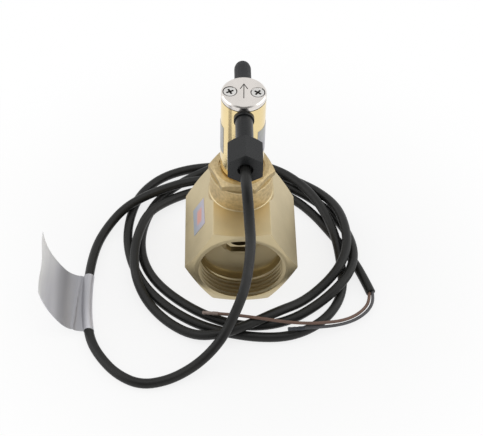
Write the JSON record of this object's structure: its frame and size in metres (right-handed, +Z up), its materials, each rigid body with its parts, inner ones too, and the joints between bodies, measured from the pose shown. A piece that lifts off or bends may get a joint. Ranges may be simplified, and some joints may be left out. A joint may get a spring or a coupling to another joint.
{
  "type": "paddle flow switch",
  "caption": "Paddle flow switch with a hexagonal brass body, a threaded port at each end, a round switch head with a flow arrow on its cap, a cable gland and a coiled cable.",
  "frame": {"origin": "on the flat the body rests on, under the middle of the body", "axes": "+Y along the flow, from the inlet port to the outlet port; +Z up along the switch head; +X to the right, looking along the flow"},
  "size_m": [0.1575, 0.1425, 0.1085],
  "materials": {
    "body_brass": "matte, cast and bead-blasted",
    "raw_brass": "satin, rough turned",
    "polished_brass": "polished",
    "nickel": "polished nickel plate",
    "stainless": "satin",
    "screw_steel": "bright plated",
    "magnet_steel": "ground ferrite",
    "black_plastic": "satin moulded",
    "black_rubber": "matte",
    "cable_jacket": "soft satin jacket",
    "grey_sleeve": "satin",
    "brown_sleeve": "satin",
    "grey_ferrule": "satin",
    "brown_ferrule": "satin",
    "silver_film": "satin silver film",
    "block_plastic": "moulded",
    "board": "laminate",
    "glass": "clear",
    "gasket": "matte"
  },
  "bodies": {
    "switch": {"body": "body_brass", "hex_adapter": "raw_brass", "adapter_o_ring": "gasket", "head_tube": "polished_brass", "separator": "raw_brass", "separator_o_ring": "gasket", "return_magnet": "magnet_steel", "cap_gasket": "gasket", "cap_plate": "nickel", "cap_screws": "screw_steel", "pivot_pin": "stainless", "pivot_bushes": "block_plastic", "contact_block": "block_plastic", "terminal_board": "board", "lead_wires": "stainless", "adjuster_bush": "raw_brass", "gland_body": "black_plastic", "gland_nut": "black_plastic", "gland_seal": "black_rubber", "cable_entry": "cable_jacket", "head_foil": "silver_film", "body_sticker": "silver_film", "cable": "cable_jacket", "cable_flag": "silver_film", "grey_core": "grey_sleeve", "brown_core": "brown_sleeve", "grey_ferrule": "grey_ferrule", "brown_ferrule": "brown_ferrule"},
    "paddle": {"paddle_lever": "stainless", "paddle_blade": "stainless", "blade_screws": "stainless", "magnet_holder": "stainless", "lever_magnet": "magnet_steel"},
    "screw": {"adjusting_screw": "stainless", "screw_clip": "stainless"},
    "carriage": {"reed_carrier": "black_plastic", "reed_glass": "glass", "reed_contacts": "stainless"},
    "rubber_cap": {"adjuster_cap": "black_rubber"}
  },
  "joints": [
    {"name": "paddle_pivot", "type": "hinge", "parent": "switch", "child": "paddle", "pos_m": [0, 0.0065, 0.0505], "axis": [1, 0, 0], "range_deg": [0, 10], "stiffness_Nm_per_rad": 0.005, "springref_deg": -5.73},
    {"name": "adjuster_turn", "type": "hinge", "parent": "switch", "child": "screw", "pos_m": [0, 0.02, 0.1], "axis": [0, -1, 0], "range_deg": [-617.2, 617.2]},
    {"name": "carriage_slide", "type": "slide", "parent": "switch", "child": "carriage", "axis": [0, 1, 0], "range_m": [-0.0012, 0.0012]},
    {"name": "cap_pull_off", "type": "slide", "parent": "switch", "child": "rubber_cap", "axis": [0, 1, 0], "range_m": [0, 0.012]}
  ],
  "couplings": [
    {"joint": "adjuster_turn", "follows": "carriage_slide", "rad_per_m": 8976}
  ]
}
